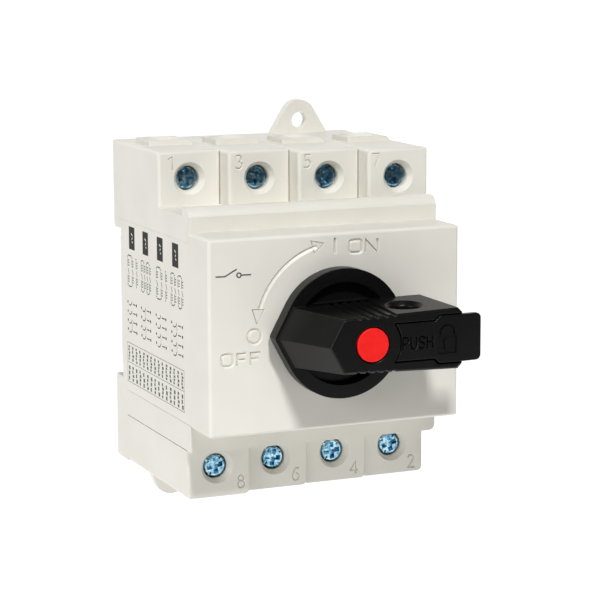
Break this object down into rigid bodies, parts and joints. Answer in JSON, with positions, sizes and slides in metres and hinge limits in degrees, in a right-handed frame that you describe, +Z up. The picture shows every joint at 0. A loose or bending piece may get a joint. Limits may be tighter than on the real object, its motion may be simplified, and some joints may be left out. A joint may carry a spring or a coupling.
{
  "type": "rotary dc isolator switch",
  "caption": "Rail-mounted rotary DC isolator with a raised square front, staggered screw terminals above and below, two screw ears and a lockable bar handle with a round red cap.",
  "frame": {"origin": "on the face that bears on the rail, where the handle's axis meets it, at the rail's centre line", "axes": "+Y out of the back towards the rail and the wall, -Y to the front along the handle's axis, +Z up, +X to the right seen from the front"},
  "size_m": [0.062, 0.0852, 0.0983],
  "materials": {
    "ivory_plastic": "satin moulded, warm light grey",
    "black_plastic": "fine matt texture",
    "red_plastic": "smooth",
    "zinc_screw": "blue passivated zinc",
    "clamp_steel": "plated steel"
  },
  "bodies": {
    "housing": {"rear_housing": "ivory_plastic", "upper_housing": "ivory_plastic", "upper_back": "ivory_plastic", "lower_housing": "ivory_plastic", "front_cover": "ivory_plastic", "rail_clip": "ivory_plastic", "terminal_1": "ivory_plastic", "terminal_3": "ivory_plastic", "terminal_5": "ivory_plastic", "terminal_7": "ivory_plastic", "terminal_8": "ivory_plastic", "terminal_6": "ivory_plastic", "terminal_4": "ivory_plastic", "terminal_2": "ivory_plastic", "clamp_1": "clamp_steel", "clamp_3": "clamp_steel", "clamp_5": "clamp_steel", "clamp_7": "clamp_steel", "clamp_8": "clamp_steel", "clamp_6": "clamp_steel", "clamp_4": "clamp_steel", "clamp_2": "clamp_steel", "screw_1": "zinc_screw", "screw_3": "zinc_screw", "screw_5": "zinc_screw", "screw_7": "zinc_screw", "screw_8": "zinc_screw", "screw_6": "zinc_screw", "screw_4": "zinc_screw", "screw_2": "zinc_screw"},
    "handle": {"handle": "black_plastic", "shaft": "clamp_steel", "indicator_cap": "red_plastic"},
    "lock": {"lock_plate": "black_plastic"}
  },
  "joints": [
    {"name": "handle_turn", "type": "hinge", "parent": "housing", "child": "handle", "pos_m": [0, -0.0648, 0], "axis": [0, 1, 0], "range_deg": [0, 90]},
    {"name": "lock_press", "type": "slide", "parent": "handle", "child": "lock", "axis": [0, 1, 0], "range_m": [0, 0.0012], "stiffness_N_per_m": 60}
  ]
}
